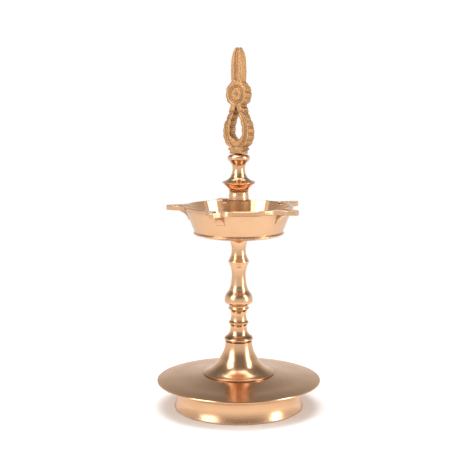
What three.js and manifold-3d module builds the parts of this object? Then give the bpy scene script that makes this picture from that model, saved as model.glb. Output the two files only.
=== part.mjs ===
// A standing oil lamp of cast and turned brass, about ten inches tall.
//
// From the table upwards: a dished base on a flared foot ring, a trumpet-shaped bell, a ring, a turned
// stem, an oil bowl with five wick spouts, and a finial made of a turned spindle and an openwork crest.
// The sections screw onto each other, so every one has its own seat and bore. Millimetres, +Z up, with
// the origin on the lamp's axis at the table. The crest stands in the XZ plane, over the +X spout.

import * as THREE from 'three';
import { mergeVertices } from 'three/addons/utils/BufferGeometryUtils.js';
import Module from 'manifold-3d';

const wasm = await Module();
wasm.setup();

// Clearances
const seatGap = 0.3;          // between two sections that seat on each other
const boreClearance = 0.3;    // radial, between a stud and its bore
const boreEndGap = 1.0;       // past the end of a stud in a blind bore

// Base dish and its foot ring
const dishRadius = 58.6;
const dishEdge = 1.5;         // thickness of the dish's edge
const dishWall = 2.4;
const edgeHeight = 18.6;      // underside of the dish's edge above the table
const bellSeatHeight = 24.0;  // top of the dish where the bell stands
const footRadius = 46.3;
const footNeckRadius = 44.0;
const footNeckHeight = 9.5;
const footWall = 2.8;         // width of the ring that stands on the table

// Bell
const bellRadius = 25.2;
const bellLip = 1.0;          // height of the small upright lip round the bell's foot
const bellHeight = 23.1;
const bellTopRadius = 9.5;
const bellWall = 2.2;
const bellCrown = 4.5;        // thickness of the bell's closed top

// Ring between the bell and the stem
const ringRadius = 10.4;
const ringHeight = 3.2;
const ringRound = 1.1;

// Stem: radii and heights above its own seat
const stemHeight = 70.4;
const stemFootRadius = 9.0;
const lowerNeckRadius = 5.95;
const lowerNeckHeight = 6.6;
const lowerBeadRadius = 7.2;
const lowerBeadHeight = 10.0;
const spoolRadius = 5.3;
const spoolHeight = 15.0;
const upperBeadRadius = 7.4;
const upperBeadHeight = 20.2;
const bulbSeatRadius = 6.8;
const bulbSeatHeight = 22.2;
const bulbRadius = 10.05;
const bulbHeight = 25.6;
const waistRadius = 4.9;
const waistHeight = 43.6;
const collarRadius = 7.35;
const collarHeight = 54.0;
const neckRadius = 4.95;
const neckHeight = 62.6;
const stemTopRadius = 7.6;
const stemTopEdge = 0.8;

// Washer under the bowl
const washerRadius = 8.5;
const washerHeight = 1.0;

// Oil bowl
const bowlHeight = 21.7;
const bowlFootRadius = 31.9;
const bowlFootHeight = 2.8;   // height of the small ridge round the bowl's foot
const bowlRimRadius = 38.4;
const bowlWall = 2.2;
const bowlFloor = 2.2;
const rimBand = 3.2;          // height of the thick band round the rim
const rimOverhang = 1.2;      // how far the band stands out from the wall

// Wick spouts, cut in the rim band
const spoutCount = 5;
const spoutReach = 50.8;      // from the axis to the tip
const spoutNeckHalf = 4.5;    // half width where the tip's facets begin
const spoutNoseHalf = 1.3;
const spoutNose = 4.9;        // length of the tip's facets
const spoutRootHalf = 11.0;   // half width where the spout leaves the rim
const wickChannelWidth = 5.2;
const wickChannelDepth = 2.0;
const wickChannelEnd = 5.2;   // solid length left between the channel and the tip
const keelWidth = 6.0;
const keelDrop = 6.5;         // how far down the wall the keel under a spout runs

// Threaded boss in the middle of the bowl
const bossRadius = 8.5;
const bossHeight = 23.1;
const bossChamfer = 0.6;

// Finial spindle: radii and heights above its own seat
const spindleHeight = 31.6;
const spindleFootRadius = 7.05;
const spindleWaistRadius = 6.55;
const spindleWaistHeight = 5.2;
const flangeRadius = 11.8;
const flangeHeight = 12.5;
const flangeEdge = 0.6;
const spindleNeckRadius = 4.3;
const spindleNeckHeight = 22.0;
const capRadius = 7.85;
const capHeight = 29.6;
const capTopRadius = 6.4;

// Crest: an openwork plate, given by half widths and heights above its own foot
const crestHeight = 73.8;
const crestThickness = 7.4;
const crestBevel = 0.6;
const crestTipThickness = 2.6;
const crestTaperHeight = 62.0;
const crestFootHalf = 5.8;
const loopHalf = 11.9;
const loopHeight = 15.4;
const loopOpeningHalf = 4.95;
const loopOpeningBottom = 10.0;
const loopOpeningTop = 33.5;
const crestWaistHalf = 5.4;
const crestWaistHeight = 33.6;
const rosetteHalf = 9.4;
const rosetteHeight = 41.4;
const leafNotchHalf = 4.2;
const leafNotchHeight = 50.2;
const leafHalf = 4.6;
const leafHeight = 57.0;
const tenonRadius = 2.5;
const tenonLength = 6.0;

// Studs, rod, nut and washer that hold the sections together
const rodRadius = 3.0;
const rodTail = 3.0;          // rod left showing below the nut
const rodGrip = 11.0;         // rod inside the stem
const nutAcrossFlats = 10.0;
const nutHeight = 5.0;
const footWasherRadius = 9.0;
const footWasherHeight = 1.2;
const bowlStudRadius = 2.5;
const bowlStudGrip = 11.5;    // stud inside the stem
const bowlStudReach = 12.0;   // stud above the bowl's underside
const finialStudRadius = 3.0;
const finialStudGrip = 5.5;   // stud inside the spindle
const finialStudReach = 10.5; // stud inside the boss

// Fineness of the facets
const wideSegments = 60;
const middleSegments = 44;
const slimSegments = 28;
const boreSegments = 20;
const curveSteps = 3;

// Heights of the seats above the table
const bellSeat = bellSeatHeight + seatGap;
const ringSeat = bellSeat + bellHeight + seatGap;
const stemSeat = ringSeat + ringHeight + seatGap;
const washerSeat = stemSeat + stemHeight + seatGap;
const bowlSeat = washerSeat + washerHeight + seatGap;
const bossSeat = bowlSeat + bowlFloor + seatGap;
const finialSeat = bossSeat + bossHeight + seatGap;
const crestSeat = finialSeat + spindleHeight + seatGap;

// Revolves a profile of (radius, height) about the vertical axis
function turn(profile, segments) {
  const geometry = new THREE.LatheGeometry(profile.getPoints(curveSteps), segments);
  return geometry.rotateX(Math.PI / 2);
}

// A profile that starts at the given radius and height
function profileFrom(radius, height) {
  const profile = new THREE.Path();
  profile.moveTo(radius, height);
  return profile;
}

// A moulding's rounded crest: up to the widest radius and away from it again
function addBead(profile, radius, height, half) {
  const start = profile.currentPoint.clone();
  profile.quadraticCurveTo(start.x, height - half, radius - 0.15 * half, height - half * 0.35);
  profile.lineTo(radius, height);
}

function solidOf(geometry) {
  const bare = geometry.clone();
  bare.deleteAttribute('normal');
  bare.deleteAttribute('uv');
  const merged = mergeVertices(bare, 1e-4);
  return new wasm.Manifold(new wasm.Mesh({
    numProp: 3,
    vertProperties: new Float32Array(merged.attributes.position.array),
    triVerts: new Uint32Array(merged.index.array),
  }));
}

function geometryOf(solid) {
  const mesh = solid.getMesh();
  const geometry = new THREE.BufferGeometry();
  geometry.setAttribute('position', new THREE.BufferAttribute(new Float32Array(mesh.vertProperties), 3));
  geometry.setIndex(new THREE.BufferAttribute(new Uint32Array(mesh.triVerts), 1));
  return geometry;
}

// A closed ring or tube with square ends
function tube(innerRadius, outerRadius, bottom, top, segments) {
  const profile = profileFrom(innerRadius, bottom);
  profile.lineTo(outerRadius, bottom);
  profile.lineTo(outerRadius, top);
  profile.lineTo(innerRadius, top);
  profile.lineTo(innerRadius, bottom);
  return turn(profile, segments);
}

// A round rod with a small chamfer at each end
function stud(radius, bottom, top) {
  const chamfer = radius * 0.2;
  const profile = profileFrom(0, bottom);
  profile.lineTo(radius - chamfer, bottom);
  profile.lineTo(radius, bottom + chamfer);
  profile.lineTo(radius, top - chamfer);
  profile.lineTo(radius - chamfer, top);
  profile.lineTo(0, top);
  return turn(profile, boreSegments);
}

// The dish slopes from the bell's seat to a thin edge, and stands on a flared ring. It is hollow below.
function baseDish() {
  const bore = rodRadius + boreClearance;
  const edgeTop = edgeHeight + dishEdge;
  const seatEdge = bellRadius + 0.8;
  const profile = profileFrom(bore, bellSeatHeight - dishWall);
  profile.lineTo(seatEdge, bellSeatHeight - dishWall);
  profile.lineTo(footNeckRadius - footWall, edgeHeight - 1.4);
  profile.quadraticCurveTo(footNeckRadius - footWall - 0.8, footNeckHeight, footRadius - footWall, 0);
  profile.lineTo(footRadius - 0.5, 0);
  profile.lineTo(footRadius, 1.0);
  profile.quadraticCurveTo(footNeckRadius + 0.6, footNeckHeight * 0.45, footNeckRadius, footNeckHeight);
  profile.quadraticCurveTo(footNeckRadius + 0.4, edgeHeight - 3.0, footNeckRadius + 4.0, edgeHeight - 1.6);
  profile.lineTo(dishRadius - 1.2, edgeHeight);
  profile.lineTo(dishRadius, edgeHeight + dishEdge * 0.4);
  profile.lineTo(dishRadius - 0.3, edgeTop);
  profile.quadraticCurveTo((dishRadius + seatEdge) / 2, edgeTop + 1.6, seatEdge, bellSeatHeight);
  profile.lineTo(bore, bellSeatHeight);
  profile.lineTo(bore, bellSeatHeight - dishWall);
  return turn(profile, wideSegments);
}

// A trumpet with an even wall, closed at the top round the rod
function bellFoot() {
  const bore = rodRadius + boreClearance;
  const throat = bellTopRadius - bellWall;
  const crownUnder = bellHeight - bellCrown;
  const profile = profileFrom(bore, crownUnder);
  profile.lineTo(throat, crownUnder);
  profile.quadraticCurveTo(throat + 0.8, bellHeight * 0.32, bellRadius - bellWall - 1.0, 0);
  profile.lineTo(bellRadius, 0);
  profile.lineTo(bellRadius, bellLip * 0.7);
  profile.lineTo(bellRadius - 0.6, bellLip);
  profile.bezierCurveTo(
    bellRadius * 0.72, bellHeight * 0.22,
    bellTopRadius + 2.2, bellHeight * 0.42,
    bellTopRadius + 0.55, bellHeight * 0.8,
  );
  profile.lineTo(bellTopRadius, bellHeight);
  profile.lineTo(bore, bellHeight);
  profile.lineTo(bore, crownUnder);
  return turn(profile, middleSegments);
}

function stemRing() {
  const bore = rodRadius + boreClearance;
  const seat = bellTopRadius - 0.2;
  const profile = profileFrom(bore, 0);
  profile.lineTo(seat, 0);
  profile.quadraticCurveTo(ringRadius, ringRound * 0.4, ringRadius, ringHeight / 2);
  profile.quadraticCurveTo(ringRadius, ringHeight - ringRound * 0.4, stemFootRadius + 0.3, ringHeight);
  profile.lineTo(bore, ringHeight);
  profile.lineTo(bore, 0);
  return turn(profile, slimSegments + 8);
}

// The stem's mouldings, from its flared foot to the flange under the bowl
function stem() {
  const rodBore = rodRadius + boreClearance;
  const studBore = bowlStudRadius + boreClearance;
  const rodBoreEnd = rodGrip + boreEndGap;
  const studBoreEnd = stemHeight - bowlStudGrip - boreEndGap;
  const profile = profileFrom(0, rodBoreEnd);
  profile.lineTo(rodBore, rodBoreEnd);
  profile.lineTo(rodBore, 0);
  profile.lineTo(stemFootRadius, 0);
  profile.quadraticCurveTo(lowerNeckRadius, 1.6, lowerNeckRadius, lowerNeckHeight);
  addBead(profile, lowerBeadRadius, lowerBeadHeight, 1.6);
  profile.quadraticCurveTo(spoolRadius, lowerBeadHeight + 1.4, spoolRadius, spoolHeight);
  addBead(profile, upperBeadRadius, upperBeadHeight, 1.8);
  profile.lineTo(upperBeadRadius - 0.4, upperBeadHeight + 0.8);
  profile.lineTo(bulbSeatRadius, bulbSeatHeight);
  profile.lineTo(bulbSeatRadius + 0.4, bulbSeatHeight + 0.5);
  profile.lineTo(bulbRadius - 0.5, bulbHeight - 1.5);
  profile.quadraticCurveTo(bulbRadius, bulbHeight - 1.0, bulbRadius, bulbHeight);
  profile.quadraticCurveTo(bulbRadius, bulbHeight + 4.0, bulbRadius - 2.1, bulbHeight + 6.3);
  profile.quadraticCurveTo(waistRadius, waistHeight - 10.0, waistRadius, waistHeight);
  profile.quadraticCurveTo(waistRadius, waistHeight + 5.0, collarRadius - 1.2, collarHeight - 2.6);
  profile.lineTo(collarRadius, collarHeight);
  profile.lineTo(collarRadius - 0.4, collarHeight + 0.9);
  profile.quadraticCurveTo(neckRadius, collarHeight + 3.6, neckRadius, neckHeight);
  profile.quadraticCurveTo(neckRadius, stemHeight - 2.6, stemTopRadius, stemHeight - stemTopEdge);
  profile.lineTo(stemTopRadius, stemHeight);
  profile.lineTo(studBore, stemHeight);
  profile.lineTo(studBore, studBoreEnd);
  profile.lineTo(0, studBoreEnd);
  return turn(profile, slimSegments);
}

// Radius of the bowl's outer wall at a height above the bowl's seat
function wallRadiusAt(height) {
  const share = (height - bowlFootHeight) / (bowlHeight - rimBand - bowlFootHeight);
  return THREE.MathUtils.lerp(bowlFootRadius - 0.5, bowlRimRadius - rimOverhang, share);
}

// The space inside the bowl, taller than the bowl so that it cuts the rim open
function bowlCavity() {
  const floorRadius = wallRadiusAt(bowlFloor + 2.5) - bowlWall - 1.6;
  const profile = profileFrom(0, bowlFloor);
  profile.lineTo(floorRadius, bowlFloor);
  profile.quadraticCurveTo(
    floorRadius + 1.6, bowlFloor + 0.2,
    wallRadiusAt(bowlFloor + 3.0) - bowlWall, bowlFloor + 3.0,
  );
  profile.lineTo(wallRadiusAt(bowlHeight) - bowlWall, bowlHeight);
  profile.lineTo(wallRadiusAt(bowlHeight) - bowlWall, bowlHeight + rimBand);
  profile.lineTo(0, bowlHeight + rimBand);
  return turn(profile, wideSegments);
}

function bowlShell() {
  const under = bowlHeight - rimBand;
  const profile = profileFrom(0, 0);
  profile.lineTo(bowlFootRadius - 8.0, 0);
  profile.quadraticCurveTo(bowlFootRadius - 1.6, 0.4, bowlFootRadius, bowlFootHeight - 0.6);
  profile.lineTo(bowlFootRadius, bowlFootHeight);
  profile.lineTo(bowlFootRadius - 0.7, bowlFootHeight + 0.8);
  profile.lineTo(bowlRimRadius - rimOverhang, under);
  profile.lineTo(bowlRimRadius, under + 0.5);
  profile.lineTo(bowlRimRadius, bowlHeight - 0.4);
  profile.lineTo(bowlRimRadius - 0.4, bowlHeight);
  profile.lineTo(0, bowlHeight);
  return turn(profile, wideSegments);
}

// A shape drawn in plan, extruded upwards from the given height
function slab(shape, bottom, thickness) {
  const geometry = new THREE.ExtrudeGeometry(shape, {
    depth: thickness,
    bevelEnabled: false,
    curveSegments: 5,
  });
  return geometry.translate(0, 0, bottom);
}

// Plan of a spout along +X: flared root, straight neck and a faceted nose
function spoutPlan() {
  const noseStart = spoutReach - spoutNose;
  const root = bowlRimRadius - 2.6;
  const shape = new THREE.Shape();
  shape.moveTo(bowlRimRadius - 8.0, -spoutRootHalf);
  shape.lineTo(root, -spoutRootHalf);
  shape.quadraticCurveTo(bowlRimRadius + 1.4, -spoutNeckHalf - 0.6, noseStart, -spoutNeckHalf);
  shape.lineTo(spoutReach, -spoutNoseHalf);
  shape.lineTo(spoutReach, spoutNoseHalf);
  shape.lineTo(noseStart, spoutNeckHalf);
  shape.quadraticCurveTo(bowlRimRadius + 1.4, spoutNeckHalf + 0.6, root, spoutRootHalf);
  shape.lineTo(bowlRimRadius - 8.0, spoutRootHalf);
  return shape;
}

// The groove that holds a wick, open to the bowl and closed short of the tip
function wickChannel() {
  const half = wickChannelWidth / 2;
  const end = spoutReach - wickChannelEnd - half;
  const shape = new THREE.Shape();
  shape.moveTo(bowlRimRadius - 9.0, -half);
  shape.lineTo(end, -half);
  shape.absarc(end, 0, half, -Math.PI / 2, Math.PI / 2, false);
  shape.lineTo(bowlRimRadius - 9.0, half);
  return slab(shape, bowlHeight - wickChannelDepth, wickChannelDepth + 2.0);
}

// The web under a spout, curving from the wall out to the rim band
function spoutKeel() {
  const top = bowlHeight - rimBand + 0.4;
  const bottom = top - keelDrop;
  const inside = wallRadiusAt(bottom) - bowlWall * 0.6;
  const shape = new THREE.Shape();
  shape.moveTo(inside, bottom - 0.6);
  shape.lineTo(wallRadiusAt(bottom) + 0.1, bottom - 0.6);
  shape.quadraticCurveTo(wallRadiusAt(bottom) + 2.0, top - 1.2, spoutReach - spoutNose - 1.6, top - 0.2);
  shape.lineTo(spoutReach - spoutNose - 1.6, top);
  shape.lineTo(inside, top);
  const geometry = new THREE.ExtrudeGeometry(shape, {
    depth: keelWidth,
    bevelEnabled: false,
    curveSegments: 5,
  });
  return geometry.rotateX(Math.PI / 2).translate(0, keelWidth / 2, 0);
}

function bowl() {
  const plate = slab(spoutPlan(), bowlHeight - rimBand, rimBand - 0.01);
  let body = solidOf(bowlShell());
  let channels = solidOf(bowlCavity());
  for (let k = 0; k < spoutCount; k += 1) {
    const angle = 360 * k / spoutCount;
    body = body.add(solidOf(plate).rotate([0, 0, angle]));
    body = body.add(solidOf(spoutKeel()).rotate([0, 0, angle]));
    channels = channels.add(solidOf(wickChannel()).rotate([0, 0, angle]));
  }
  const bore = new THREE.CylinderGeometry(
    bowlStudRadius + boreClearance, bowlStudRadius + boreClearance, bowlFloor * 4, boreSegments,
  ).rotateX(Math.PI / 2);
  return geometryOf(body.subtract(channels).subtract(solidOf(bore)));
}

// The boss takes the bowl's stud from below and the finial's stud from above
function bowlBoss() {
  const lower = bowlStudRadius + boreClearance;
  const upper = finialStudRadius + boreClearance;
  const step = bossHeight - finialStudReach - boreEndGap;
  const profile = profileFrom(lower, 0);
  profile.lineTo(bossRadius, 0);
  profile.lineTo(bossRadius, bossHeight - bossChamfer);
  profile.lineTo(bossRadius - bossChamfer, bossHeight);
  profile.lineTo(upper, bossHeight);
  profile.lineTo(upper, step);
  profile.lineTo(lower, step);
  profile.lineTo(lower, 0);
  return turn(profile, slimSegments);
}

function finialSpindle() {
  const studBore = finialStudRadius + boreClearance;
  const tenonBore = tenonRadius + boreClearance;
  const studEnd = finialStudGrip + boreEndGap;
  const tenonEnd = spindleHeight - tenonLength - boreEndGap;
  const profile = profileFrom(0, studEnd);
  profile.lineTo(studBore, studEnd);
  profile.lineTo(studBore, 0);
  profile.lineTo(spindleFootRadius, 0);
  profile.quadraticCurveTo(spindleWaistRadius, 1.8, spindleWaistRadius, spindleWaistHeight);
  profile.quadraticCurveTo(spindleWaistRadius + 0.3, flangeHeight - 4.0, flangeRadius - 3.4, flangeHeight - 2.6);
  profile.quadraticCurveTo(flangeRadius - 1.4, flangeHeight - 1.2, flangeRadius, flangeHeight - flangeEdge);
  profile.lineTo(flangeRadius, flangeHeight);
  profile.quadraticCurveTo(flangeRadius - 3.2, flangeHeight + 0.7, spindleNeckRadius + 2.2, flangeHeight + 3.0);
  profile.quadraticCurveTo(spindleNeckRadius, flangeHeight + 5.2, spindleNeckRadius, spindleNeckHeight);
  profile.quadraticCurveTo(spindleNeckRadius, capHeight - 4.4, capRadius - 1.2, capHeight - 2.2);
  profile.quadraticCurveTo(capRadius, capHeight - 1.2, capRadius, capHeight);
  profile.quadraticCurveTo(capRadius, capHeight + 1.0, capTopRadius, spindleHeight - 0.4);
  profile.lineTo(capTopRadius - 0.6, spindleHeight);
  profile.lineTo(tenonBore, spindleHeight);
  profile.lineTo(tenonBore, tenonEnd);
  profile.lineTo(0, tenonEnd);
  return turn(profile, slimSegments);
}

// Half of the crest's outline, from the middle of its foot to its tip
function crestHalfOutline() {
  const half = new THREE.Path();
  half.moveTo(crestFootHalf, 0);
  half.lineTo(crestFootHalf - 0.1, 2.2);
  half.quadraticCurveTo(crestFootHalf + 1.9, 2.6, crestFootHalf + 1.6, 4.0);
  half.lineTo(crestFootHalf + 0.9, 4.7);
  half.bezierCurveTo(loopHalf - 1.4, 6.6, loopHalf, loopHeight - 5.0, loopHalf, loopHeight);
  half.bezierCurveTo(
    loopHalf, loopHeight + 7.4,
    crestWaistHalf + 1.7, loopHeight + 10.2,
    crestWaistHalf + 1.5, crestWaistHeight - 5.2,
  );
  half.lineTo(crestWaistHalf + 1.7, crestWaistHeight - 4.2);
  half.lineTo(crestWaistHalf + 0.7, crestWaistHeight - 3.4);
  half.lineTo(crestWaistHalf + 0.8, crestWaistHeight - 2.2);
  half.lineTo(crestWaistHalf, crestWaistHeight - 1.2);
  half.lineTo(crestWaistHalf, crestWaistHeight + 0.6);
  half.bezierCurveTo(
    rosetteHalf - 1.6, crestWaistHeight + 1.6,
    rosetteHalf, rosetteHeight - 4.4,
    rosetteHalf, rosetteHeight,
  );
  half.bezierCurveTo(
    rosetteHalf, rosetteHeight + 4.6,
    rosetteHalf - 2.6, rosetteHeight + 7.4,
    leafNotchHalf + 0.5, leafNotchHeight - 0.9,
  );
  half.lineTo(leafNotchHalf, leafNotchHeight);
  half.quadraticCurveTo(leafHalf, leafNotchHeight + 2.0, leafHalf, leafHeight);
  half.bezierCurveTo(leafHalf, leafHeight + 7.0, leafHalf - 0.9, crestHeight - 5.0, 2.4, crestHeight - 1.6);
  half.quadraticCurveTo(1.6, crestHeight - 0.2, 0, crestHeight);
  return half.getPoints(4);
}

// The opening of the loop: round below, drawn out to a point above
function loopOpening() {
  const width = loopOpeningHalf;
  const height = loopHeight;
  const hole = new THREE.Path();
  hole.moveTo(0, loopOpeningBottom);
  hole.quadraticCurveTo(width, loopOpeningBottom + 0.3, width, height);
  hole.bezierCurveTo(width, height + 7.0, 1.4, height + 11.0, 0, loopOpeningTop);
  hole.bezierCurveTo(-1.4, height + 11.0, -width, height + 7.0, -width, height);
  hole.quadraticCurveTo(-width, loopOpeningBottom + 0.3, 0, loopOpeningBottom);
  return new THREE.Path(hole.getPoints(6));
}

// The crest is cut from the outline seen from the front and the taper seen from the side
function crest() {
  const right = crestHalfOutline();
  const left = right.slice(0, -1).map((point) => new THREE.Vector2(-point.x, point.y)).reverse();
  const outline = new THREE.Shape([...right, ...left]);
  outline.holes.push(loopOpening());
  const plate = new THREE.ExtrudeGeometry(outline, {
    depth: crestThickness - 2 * crestBevel,
    bevelEnabled: true,
    bevelThickness: crestBevel,
    bevelSize: crestBevel,
    bevelOffset: -crestBevel,
    bevelSegments: 1,
  });
  plate.rotateX(Math.PI / 2).translate(0, crestThickness / 2 - crestBevel, 0);

  const side = new THREE.Shape();
  side.moveTo(-crestThickness, -1);
  side.lineTo(crestThickness, -1);
  side.lineTo(crestThickness, crestTaperHeight - 8.0);
  side.lineTo(crestThickness / 2, crestTaperHeight);
  side.quadraticCurveTo(crestThickness / 2 - 0.3, crestHeight - 4.0, crestTipThickness / 2, crestHeight + 0.1);
  side.lineTo(-crestTipThickness / 2, crestHeight + 0.1);
  side.quadraticCurveTo(-crestThickness / 2 + 0.3, crestHeight - 4.0, -crestThickness / 2, crestTaperHeight);
  side.lineTo(-crestThickness, crestTaperHeight - 8.0);
  const taper = new THREE.ExtrudeGeometry(side, {
    depth: 4 * loopHalf,
    bevelEnabled: false,
    curveSegments: 4,
  });
  taper.translate(0, 0, -2 * loopHalf).rotateX(Math.PI / 2).rotateZ(Math.PI / 2);

  const tenon = stud(tenonRadius, -tenonLength, crestBevel + 1.0);
  return geometryOf(solidOf(plate).intersect(solidOf(taper)).add(solidOf(tenon)));
}

// A six-sided nut with its hole
function hexNut() {
  const corner = nutAcrossFlats / Math.sqrt(3);
  const shape = new THREE.Shape();
  for (let k = 0; k < 6; k += 1) {
    const angle = Math.PI / 3 * k;
    const draw = k === 0 ? 'moveTo' : 'lineTo';
    shape[draw](corner * Math.cos(angle), corner * Math.sin(angle));
  }
  const hole = new THREE.Path();
  hole.absarc(0, 0, rodRadius + boreClearance, 0, 2 * Math.PI, true);
  shape.holes.push(hole);
  return new THREE.ExtrudeGeometry(shape, {
    depth: nutHeight,
    bevelEnabled: false,
    curveSegments: boreSegments / 2,
  });
}

// Finishes: polished brass on the turned faces, plain cast brass elsewhere, steel for the fixings
const polished = { color: 0xe3ae7c, roughness: 0.2, metalness: 1.0 };
const asCast = { color: 0xb98a4e, roughness: 0.45, metalness: 1.0 };
const steel = { color: 0xa7a9ac, roughness: 0.35, metalness: 1.0 };

const lamp = new THREE.Group();

function place(name, geometry, finish, height) {
  const mesh = new THREE.Mesh(geometry, new THREE.MeshStandardMaterial(finish));
  mesh.name = name;
  mesh.position.z = height;
  lamp.add(mesh);
}

const footWasherTop = bellSeatHeight - dishWall - seatGap;
const nutTop = footWasherTop - footWasherHeight - seatGap;
const rodBottom = nutTop - nutHeight - rodTail;

place('base_dish', baseDish(), polished, 0);
place('bell_foot', bellFoot(), polished, bellSeat);
place('foot_rod', stud(rodRadius, rodBottom, stemSeat + rodGrip), steel, 0);
place(
  'foot_washer',
  tube(rodRadius + boreClearance, footWasherRadius, 0, footWasherHeight, slimSegments),
  steel,
  footWasherTop - footWasherHeight,
);
place('foot_nut', hexNut(), steel, nutTop - nutHeight);
place('stem_ring', stemRing(), polished, ringSeat);
place('stem', stem(), polished, stemSeat);
place('bowl_stud', stud(bowlStudRadius, stemSeat + stemHeight - bowlStudGrip, bowlSeat + bowlStudReach), asCast, 0);
place(
  'bowl_washer',
  tube(bowlStudRadius + boreClearance, washerRadius, 0, washerHeight, slimSegments),
  polished,
  washerSeat,
);
place('bowl', bowl(), polished, bowlSeat);
place('bowl_boss', bowlBoss(), asCast, bossSeat);
place(
  'finial_stud',
  stud(finialStudRadius, finialSeat - seatGap - finialStudReach, finialSeat + finialStudGrip),
  asCast,
  0,
);
place('finial_spindle', finialSpindle(), polished, finialSeat);
place('finial_crest', crest(), asCast, crestSeat);

export default lamp;
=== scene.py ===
"""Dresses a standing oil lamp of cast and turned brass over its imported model, with a white studio."""

import math

import bmesh
import bpy
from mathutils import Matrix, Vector, noise as noise_field


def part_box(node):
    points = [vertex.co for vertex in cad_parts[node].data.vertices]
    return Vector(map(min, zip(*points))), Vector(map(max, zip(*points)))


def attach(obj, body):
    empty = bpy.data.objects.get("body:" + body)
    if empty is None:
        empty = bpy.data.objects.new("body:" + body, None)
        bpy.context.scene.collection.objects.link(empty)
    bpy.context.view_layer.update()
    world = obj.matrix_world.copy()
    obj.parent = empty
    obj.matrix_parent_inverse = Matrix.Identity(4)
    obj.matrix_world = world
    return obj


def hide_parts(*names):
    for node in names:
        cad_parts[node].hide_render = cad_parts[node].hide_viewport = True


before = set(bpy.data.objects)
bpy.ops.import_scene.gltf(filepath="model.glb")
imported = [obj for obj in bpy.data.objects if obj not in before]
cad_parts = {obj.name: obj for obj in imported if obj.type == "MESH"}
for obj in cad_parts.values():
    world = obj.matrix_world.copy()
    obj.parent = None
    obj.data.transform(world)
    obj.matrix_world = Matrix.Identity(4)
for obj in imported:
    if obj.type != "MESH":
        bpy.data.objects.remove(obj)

bl_info = {
    "name": "Standing Oil Lamp",
    "version": (1, 0, 0),
    "blender": (4, 5, 0),
    "location": "View3D > Sidebar > Oil Lamp",
    "description": "Builds the turned and cast pieces of a brass oil lamp and lights them",
    "category": "Object",
}

MM = 0.001

# Fineness of the turned pieces
SEGMENTS = 128
DISH_SEGMENTS = 192
CURVE_STEPS = 6
SHARP_ANGLE = math.radians(32)

# Scales of the metal's markings, in turns per metre
CLOUD_SCALE = 55.0
WAVE_SCALE = 120.0
SPECK_SCALE = 900.0
LATHE_SCALE = 2600.0

# Crest carving, in millimetres: heights are above the crest's foot
DISC_HEIGHT = 41.4
DISC_RING = 5.4
DIMPLE_HALF = 1.5
LOOP_MIDDLE = 17.5
LOOP_ACROSS = 8.6
LOOP_UP = 13.5
LOOP_SPAN = (5.0, 30.0)
GROOVE_HALF = 1.1
CREASE_START = 51.0
CREASE_HALF = 1.3
SCALLOP_PITCH = 4.8
SCALLOP_SPAN = (1.5, 49.0)
CREST_VOXEL = 0.4
CREST_INSET = 0.06
CREST_GRAIN = 0.28

# Profiles are (radius, height) in millimetres above the piece's own lower end; None marks a sharp edge
RING = [(9.3, 0), None, (9.9, 0.5), (10.35, 1.4), (10.3, 2.2), (9.5, 3.2)]
STEM = [
    (9.0, 0), None, (8.4, 0.5), (7.7, 1.2), (7.2, 1.9), (6.75, 2.6), (6.4, 3.4), (6.1, 4.4), (5.95, 7.0),
    (6.4, 8.4), (7.1, 9.6), None, (7.1, 10.3), None, (6.6, 10.9), (5.9, 11.9), (5.35, 15.0), (5.5, 16.6),
    (6.0, 18.2), (6.9, 19.5), None, (7.35, 20.1), (7.35, 20.5), None, (6.86, 21.5), (6.86, 22.3), None,
    (7.4, 22.9), (8.7, 23.7), (9.7, 24.5), (10.0, 25.8), (9.9, 27.4), (9.6, 28.9), (9.0, 30.3),
    (7.9, 31.8), (6.9, 33.2), (6.4, 34.6), (5.9, 36.0), (5.5, 37.5), (4.92, 43.3), (5.02, 46.2),
    (5.3, 48.4), (5.7, 49.8), (6.3, 51.2), (6.85, 52.7), None, (7.3, 53.8), (7.3, 54.3), None,
    (6.9, 55.1), (6.3, 56.3), (5.75, 57.7), (5.27, 59.1), (4.96, 62.3), (5.2, 64.8), (5.5, 66.3),
    (6.0, 67.9), (6.8, 69.2), (7.55, 70.0), None, (7.55, 70.4),
]
BELL = [
    (25.1, 0), None, (25.15, 0.7), None, (24.6, 1.0), (21.2, 2.5), (18.0, 4.9), (15.4, 7.8), (13.4, 11.2),
    (12.1, 13.5), (11.4, 14.9), (10.8, 16.4), (10.3, 18.0), (10.0, 19.4), (9.76, 20.8), (9.56, 22.3),
    (9.45, 23.1),
]
DISH = [
    (3.4, 21.7), None, (26.0, 21.7), None, (41.2, 17.3), (40.6, 9.5), (43.6, 0.05), None,
    (45.8, 0.05), None, (46.2, 0.6), (45.4, 2.7), (44.8, 4.3), (44.2, 6.6), (43.9, 9.6), (44.2, 13.5),
    (45.6, 15.9), (48.0, 17.1), (57.4, 18.6), None, (58.3, 18.9), (58.5, 19.4), (58.2, 20.0),
    None, (50.0, 21.1), (42.0, 21.9), (34.0, 22.9), (26.0, 24.0), None, (3.4, 24.0), None, (3.4, 21.7),
]
SPINDLE = [
    (7.0, 0), None, (6.9, 3.0), (6.58, 5.0), (6.9, 6.6), (7.24, 7.8), (8.3, 9.1), (9.9, 10.5), (11.1, 11.3),
    (11.6, 12.0), None, (11.6, 12.4), None, (10.7, 12.8), (9.1, 13.4), (7.8, 14.1), (6.9, 14.8),
    (6.1, 15.6), (5.4, 17.0), (4.8, 18.4), (4.31, 21.4), (4.68, 24.0), (5.4, 25.4), (6.6, 26.8),
    (7.6, 28.2), (7.8, 29.5), (7.6, 30.3), None, (6.4, 31.2), (5.6, 31.5),
]
WASHER = [(7.6, 0), None, (8.4, 0.2), None, (8.4, 0.8), None, (7.6, 1.0)]


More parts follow.
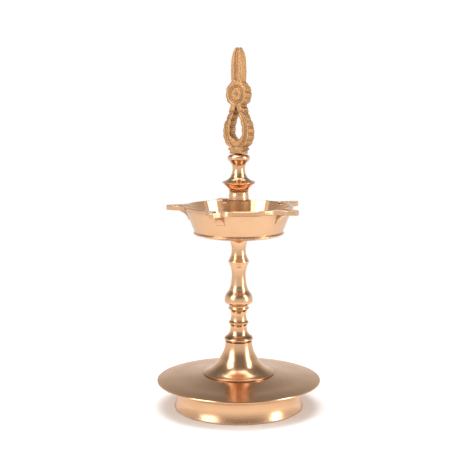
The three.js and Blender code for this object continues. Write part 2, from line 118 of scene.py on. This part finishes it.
class Socket:
    """A node socket with arithmetic that adds Math nodes."""

    def __init__(self, material, link):
        self.material = material
        self.link = link

    def _math(self, operation, first, second):
        return node(self.material, "ShaderNodeMath", {"operation": operation}, {0: first, 1: second})

    def __add__(self, other):
        return self._math("ADD", self, other)

    __radd__ = __add__

    def __mul__(self, other):
        return self._math("MULTIPLY", self, other)

    __rmul__ = __mul__

    def __sub__(self, other):
        return self._math("SUBTRACT", self, other)

    def __rsub__(self, other):
        return self._math("SUBTRACT", other, self)

    def __pow__(self, other):
        return self._math("POWER", self, other)


def node(material, kind, settings, values, output=0):
    """Adds one node, makes its settings, then sets or links its sockets, and returns an output."""
    made = material.node_tree.nodes.new(kind)
    for key, value in settings.items():
        setattr(made, key, value)
    for key, value in values.items():
        if isinstance(value, Socket):
            material.node_tree.links.new(value.link, made.inputs[key])
        else:
            made.inputs[key].default_value = value
    return Socket(material, made.outputs[output])


def mix(material, factor, first, second):
    """Mixes two colours."""
    return node(material, "ShaderNodeMix", {"data_type": "RGBA"}, {0: factor, 6: first, 7: second}, 2)


def noise(material, point, scale, detail, stretch=(1.0, 1.0, 1.0)):
    """Noise over the piece's own coordinates, in turns per metre."""
    scaled = node(material, "ShaderNodeVectorMath", {"operation": "MULTIPLY"}, {0: point, 1: stretch})
    return node(material, "ShaderNodeTexNoise", {}, {"Vector": scaled, "Scale": scale, "Detail": detail})


def brass(name, colour, dark, roughness, lathe, grain, soften):
    """Brass with cloudy tarnish, painted shade darkening its seams and hollows, lathe lines and casting
    grain.
    """
    material = bpy.data.materials.new(name)
    material.use_nodes = True
    shader = material.node_tree.nodes["Principled BSDF"]
    point = node(material, "ShaderNodeTexCoord", {}, {}, 3)
    cloud = noise(material, point, CLOUD_SCALE, 4.0)
    speck = noise(material, point, SPECK_SCALE, 2.0)
    hollow = node(material, "ShaderNodeAmbientOcclusion", {"samples": 8}, {"Distance": 0.006}, 1)
    # Painted shade: the ambient occlusion mask darkens the brass colour in seams and hollows, and the same
    # mask also roughens them.
    hollow_shade_mask = (1.0 - hollow ** 0.6) * 0.75
    tint = mix(material, cloud * 0.45, colour, dark)
    tint_with_painted_shade = mix(material, hollow_shade_mask, tint, (dark[0] * 0.35, dark[1] * 0.28, dark[2] * 0.22, 1.0))
    rough = cloud * 0.12 + speck * grain * 0.3 + roughness + hollow_shade_mask * 0.25
    lines = noise(material, point, 1.0, 2.0, (1.0, 1.0, LATHE_SCALE))
    waves = noise(material, point, WAVE_SCALE, 1.0)
    height = lines * lathe + speck * grain + waves * 0.6
    relief = {"Height": height, "Strength": 0.35, "Distance": 0.00012}
    if soften > 0:
        relief["Normal"] = node(material, "ShaderNodeBevel", {"samples": 4}, {"Radius": soften})
    bump = node(material, "ShaderNodeBump", {}, relief)
    for key, value in (("Base Color", tint_with_painted_shade), ("Roughness", rough), ("Normal", bump)):
        material.node_tree.links.new(value.link, shader.inputs[key])
    shader.inputs["Metallic"].default_value = 1.0
    return material


def smooth_profile(marks):
    """Runs a smooth curve through the marks, broken at each sharp edge."""
    runs, run = [], []
    for mark in marks:
        if mark is None:
            runs.append(run)
            run = [run[-1]]
        else:
            run.append(mark)
    runs.append(run)
    points = [Vector(runs[0][0])]
    for run in runs:
        spots = [Vector(p) for p in run]
        spots = [spots[0]] + spots + [spots[-1]]
        for i in range(1, len(spots) - 2):
            a, b, c, d = spots[i - 1:i + 3]
            for k in range(1, CURVE_STEPS + 1):
                t = k / CURVE_STEPS
                points.append(0.5 * (2 * b + (c - a) * t + (2 * a - 5 * b + 4 * c - d) * t * t
                                     + (3 * b - a - 3 * c + d) * t ** 3))
    return points


def turned(name, marks, bottom, body, nodes, material, segments=SEGMENTS):
    """Revolves a profile into a skin, which rides on its body and stands for its nodes."""
    points = smooth_profile(marks)
    mesh = bmesh.new()
    rings = []
    for p in points:
        rings.append([
            mesh.verts.new((p.x * MM * math.cos(a), p.x * MM * math.sin(a), bottom + p.y * MM))
            for a in (2 * math.pi * k / segments for k in range(segments))
        ])
    for low, high in zip(rings, rings[1:]):
        for k in range(segments):
            n = (k + 1) % segments
            mesh.faces.new((low[k], low[n], high[n], high[k]))
    if marks[0] == marks[-1]:
        bmesh.ops.remove_doubles(mesh, verts=mesh.verts, dist=1e-7)
    else:
        mesh.faces.new(rings[-1])
        mesh.faces.new(list(reversed(rings[0])))
    bmesh.ops.recalc_face_normals(mesh, faces=mesh.faces)
    for face in mesh.faces:
        face.smooth = True
    for edge in mesh.edges:
        if len(edge.link_faces) == 2 and edge.calc_face_angle() > SHARP_ANGLE:
            edge.smooth = False
    data = bpy.data.meshes.new(name)
    mesh.to_mesh(data)
    mesh.free()
    piece = bpy.data.objects.new(name, data)
    bpy.context.scene.collection.objects.link(piece)
    data.materials.append(material)
    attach(piece, body)
    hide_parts(*nodes)


class LampSettings(bpy.types.PropertyGroup):
    """Colours and finish of the lamp, and the picture's camera."""

    polished: bpy.props.FloatVectorProperty(
        name="Polished brass", description="Colour of the polished faces", subtype="COLOR", size=4,
        default=(0.76, 0.47, 0.28, 1.0), min=0.0, max=1.0)
    shade: bpy.props.FloatVectorProperty(
        name="Brass shade", description="Darker tint in the brass", subtype="COLOR", size=4,
        default=(0.44, 0.22, 0.09, 1.0), min=0.0, max=1.0)
    cast: bpy.props.FloatVectorProperty(
        name="Cast brass", description="Colour of the faces left as cast", subtype="COLOR", size=4,
        default=(0.50, 0.29, 0.14, 1.0), min=0.0, max=1.0)
    roughness: bpy.props.FloatProperty(
        name="Roughness", description="Roughness of the polished brass", default=0.16, min=0.0, max=1.0)
    azimuth: bpy.props.FloatProperty(
        name="Camera azimuth", description="Turn of the camera round the lamp", subtype="ANGLE",
        default=math.radians(39.0))
    distance: bpy.props.FloatProperty(
        name="Camera distance", description="From the lamp's axis", subtype="DISTANCE", unit="LENGTH",
        default=0.73122)


def settings():
    """The scene's own lamp settings."""
    return bpy.context.scene.oil_lamp


def low(name):
    """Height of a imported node's lower end."""
    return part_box(name)[0][2]


def polished(name, lathe=1.0):
    """The finish of the turned faces."""
    s = settings()
    return brass(name, tuple(s.polished), tuple(s.shade), s.roughness, lathe, 0.15, 0.0)


class LAMP_OT_turned(bpy.types.Operator):
    """Build the ring, stem, washer and finial spindle."""

    bl_idname = "lamp.turned"
    bl_label = "Turned Pieces"

    def execute(self, context):
        metal = polished("turned brass")
        turned("ring_skin", RING, low("stem_ring"), "foot", ["stem_ring"], metal)
        turned("stem_skin", STEM, low("stem"), "stem", ["stem"], metal)
        turned("washer_skin", WASHER, low("bowl_washer"), "bowl", ["bowl_washer"], metal)
        turned("spindle_skin", SPINDLE, low("finial_spindle"), "finial", ["finial_spindle"], metal)
        return {"FINISHED"}


class LAMP_OT_foot(bpy.types.Operator):
    """Build the bell and the dish."""

    bl_idname = "lamp.foot"
    bl_label = "Bell and Dish"

    def execute(self, context):
        turned("bell_skin", BELL, low("bell_foot"), "foot", ["bell_foot"], polished("bell brass"))
        turned("dish_skin", DISH, low("base_dish"), "foot", ["base_dish"], polished("dish brass", 0.6),
               DISH_SEGMENTS)
        return {"FINISHED"}


def node_object(name):
    """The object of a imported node."""
    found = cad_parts[name]
    return bpy.data.objects[found] if isinstance(found, str) else found


def finish_node(name, material):
    """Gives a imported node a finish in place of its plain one."""
    piece = node_object(name)
    for spot in piece.material_slots:
        spot.material = material


class LAMP_OT_bowl(bpy.types.Operator):
    """Finish the spouted bowl and its boss."""

    bl_idname = "lamp.bowl"
    bl_label = "Oil Bowl"

    def execute(self, context):
        s = settings()
        wall = brass("bowl brass", tuple(s.polished), tuple(s.shade), s.roughness, 0.5, 0.1, 0.0008)
        finish_node("bowl", wall)
        finish_node("bowl_boss", brass("boss brass", tuple(s.cast), tuple(s.shade), 0.4, 0.2, 1.0, 0.0004))
        return {"FINISHED"}


def groove(distance, half):
    """Depth from 0 to 1 of a round-bottomed groove, from the distance to its middle."""
    return max(0.0, 1.0 - (distance / half) ** 2)


def crest_carving(x, h, side):
    """Depth in millimetres cut into the crest at x and h; side is 0 on its faces and 1 on its edges."""
    disc = math.hypot(x, h - DISC_HEIGHT)
    loop = abs(math.hypot(x / LOOP_ACROSS, (h - LOOP_MIDDLE) / LOOP_UP) - 1.0) * 9.0
    face = 0.9 * groove(disc - DISC_RING, GROOVE_HALF) + 0.8 * groove(disc, DIMPLE_HALF)
    if LOOP_SPAN[0] < h < LOOP_SPAN[1]:
        face += 0.9 * groove(loop, GROOVE_HALF)
    if h > CREASE_START:
        face += groove(x, CREASE_HALF)
    edge = 0.0
    if SCALLOP_SPAN[0] <= h <= SCALLOP_SPAN[1]:
        edge = (0.5 + 0.5 * math.cos(2 * math.pi * h / SCALLOP_PITCH)) ** 4
    return (1.0 - side) * face + side * edge


class LAMP_OT_crest(bpy.types.Operator):
    """Carve the crest's grooves, scalloped edges and rough cast skin."""

    bl_idname = "lamp.crest"
    bl_label = "Crest"

    def execute(self, context):
        source = node_object("finial_crest")
        start = source.data.copy()
        start.transform(source.matrix_world)
        raw = bpy.data.objects.new("crest_raw", start)
        context.scene.collection.objects.link(raw)
        remesh = raw.modifiers.new("even mesh", "REMESH")
        remesh.mode = "VOXEL"
        remesh.voxel_size = CREST_VOXEL * MM
        context.view_layer.update()
        data = bpy.data.meshes.new_from_object(raw.evaluated_get(context.evaluated_depsgraph_get()))
        bpy.data.objects.remove(raw)
        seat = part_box("finial_spindle")[1][2]
        moved = []
        for vertex in data.vertices:
            h = (vertex.co.z - seat) / MM
            side = min(1.0, abs(vertex.normal.x) * 1.4)
            grain = noise_field.noise(vertex.co * 700.0) * 0.5 + 0.5
            depth = CREST_INSET
            if h > 0:
                depth += CREST_GRAIN * grain + crest_carving(vertex.co.x / MM, h, side)
            moved.append(vertex.co - vertex.normal * depth * MM)
        for vertex, place in zip(data.vertices, moved):
            vertex.co = place
        data.shade_smooth()
        data.materials.clear()
        s = settings()
        data.materials.append(brass("crest brass", tuple(s.cast), tuple(s.shade), 0.26, 0.0, 1.4, 0.0))
        piece = bpy.data.objects.new("crest_cast", data)
        context.scene.collection.objects.link(piece)
        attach(piece, "finial")
        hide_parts("finial_crest")
        return {"FINISHED"}


def area_light(name, place, target, width, height, power):
    """A rectangular lamp that faces its target."""
    data = bpy.data.lights.new(name, "AREA")
    data.shape = "RECTANGLE"
    data.size, data.size_y, data.energy = width, height, power
    light = bpy.data.objects.new(name, data)
    bpy.context.scene.collection.objects.link(light)
    light.location = place
    light.rotation_euler = (Vector(target) - Vector(place)).to_track_quat("-Z", "Y").to_euler()


def glow_far_floor(material, paint):
    """Fades the floor into plain white away from the lamp, so that no horizon shows."""
    point = node(material, "ShaderNodeTexCoord", {}, {}, 3)
    away = node(material, "ShaderNodeVectorMath", {"operation": "LENGTH"}, {0: point}, 1)
    ramp = {"From Min": 0.10, "From Max": 0.40, "To Min": 0.0, "To Max": 1.0}
    fade = node(material, "ShaderNodeMapRange", {"clamp": True}, {"Value": away, **ramp})
    tree = material.node_tree
    glow = tree.nodes.new("ShaderNodeEmission")
    both = tree.nodes.new("ShaderNodeMixShader")
    tree.links.new(fade.link, both.inputs[0])
    tree.links.new(paint.outputs[0], both.inputs[1])
    tree.links.new(glow.outputs[0], both.inputs[2])
    tree.links.new(both.outputs[0], tree.nodes["Material Output"].inputs["Surface"])


def white_surround(scene):
    """Shows plain white to the camera, and a bright horizon under a darker top to everything else."""
    world = bpy.data.worlds.new("surround")
    scene.world = world
    world.use_nodes = True
    tree = world.node_tree
    back = tree.nodes["Background"]
    path = tree.nodes.new("ShaderNodeLightPath")
    shown = tree.nodes.new("ShaderNodeMix")
    shown.data_type = "RGBA"
    place = tree.nodes.new("ShaderNodeTexCoord")
    split = tree.nodes.new("ShaderNodeSeparateXYZ")
    ramp = tree.nodes.new("ShaderNodeValToRGB")
    ramp.color_ramp.elements[0].position = 0.12
    ramp.color_ramp.elements[0].color = (0.95, 0.93, 0.90, 1.0)
    ramp.color_ramp.elements[1].position = 0.55
    ramp.color_ramp.elements[1].color = (0.22, 0.21, 0.20, 1.0)
    tree.links.new(place.outputs["Generated"], split.inputs[0])
    tree.links.new(split.outputs["Z"], ramp.inputs[0])
    tree.links.new(ramp.outputs["Color"], shown.inputs[6])
    shown.inputs[7].default_value = (1.0, 1.0, 1.0, 1.0)
    tree.links.new(path.outputs["Is Camera Ray"], shown.inputs[0])
    tree.links.new(shown.outputs[2], back.inputs["Color"])


class LAMP_OT_stage(bpy.types.Operator):
    """Set up the floor, the white surround, the lights and the camera."""

    bl_idname = "lamp.stage"
    bl_label = "Stage"

    def execute(self, context):
        s = settings()
        scene = context.scene
        scene.view_settings.view_transform = "Standard"
        data = bpy.data.meshes.new("floor")
        reach = 3.0
        corners = [(-reach, -reach, 0), (reach, -reach, 0), (reach, reach, 0), (-reach, reach, 0)]
        data.from_pydata(corners, [], [(0, 1, 2, 3)])
        floor = bpy.data.objects.new("floor", data)
        scene.collection.objects.link(floor)
        white = bpy.data.materials.new("floor white")
        white.use_nodes = True
        paint = white.node_tree.nodes["Principled BSDF"]
        paint.inputs["Base Color"].default_value = (0.93, 0.93, 0.93, 1.0)
        paint.inputs["Roughness"].default_value = 0.9
        paint.inputs["Specular IOR Level"].default_value = 0.0
        data.materials.append(white)
        glow_far_floor(white, paint)

        white_surround(scene)

        turn = s.azimuth
        right = Vector((math.cos(turn), math.sin(turn), 0))
        away = Vector((-math.sin(turn), math.cos(turn), 0))
        up = Vector((0, 0, 1))
        middle = (0, 0, 0.13)

        def spot(x, y, z):
            return right * x + away * y + up * z

        area_light("left box", spot(-0.7, -0.5, 0.6), middle, 0.45, 0.8, 6.0)
        area_light("right box", spot(0.8, -0.3, 0.45), middle, 0.2, 0.8, 5.0)
        area_light("top box", spot(0.0, 0.1, 1.1), middle, 0.8, 0.8, 11.0)

        camera_data = bpy.data.cameras.new("camera")
        camera_data.lens = 79.6
        camera_data.sensor_width = 36.0
        camera = bpy.data.objects.new("camera", camera_data)
        scene.collection.objects.link(camera)
        camera.location = away * -s.distance + up * 0.229885 - right * 0.0012
        camera.rotation_euler = (math.radians(90.0 - 8.357), 0.0, turn)
        scene.camera = camera
        return {"FINISHED"}


class LAMP_PT_panel(bpy.types.Panel):
    """Lists the steps in the sidebar."""

    bl_label = "Oil Lamp"
    bl_idname = "LAMP_PT_panel"
    bl_space_type = "VIEW_3D"
    bl_region_type = "UI"
    bl_category = "Oil Lamp"

    def draw(self, context):
        for name in LampSettings.__annotations__:
            self.layout.prop(context.scene.oil_lamp, name)
        for step in STEPS:
            self.layout.operator(step.bl_idname)


STEPS = (LAMP_OT_turned, LAMP_OT_foot, LAMP_OT_bowl, LAMP_OT_crest, LAMP_OT_stage)


def register():
    for item in (LampSettings, *STEPS, LAMP_PT_panel):
        bpy.utils.register_class(item)
    bpy.types.Scene.oil_lamp = bpy.props.PointerProperty(type=LampSettings)


def unregister():
    del bpy.types.Scene.oil_lamp
    for item in reversed((LampSettings, *STEPS, LAMP_PT_panel)):
        bpy.utils.unregister_class(item)


def main():
    register()
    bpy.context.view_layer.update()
    bpy.ops.lamp.turned()
    bpy.ops.lamp.foot()
    bpy.ops.lamp.bowl()
    bpy.ops.lamp.crest()
    bpy.ops.lamp.stage()


if __name__ == "__main__":
    main()
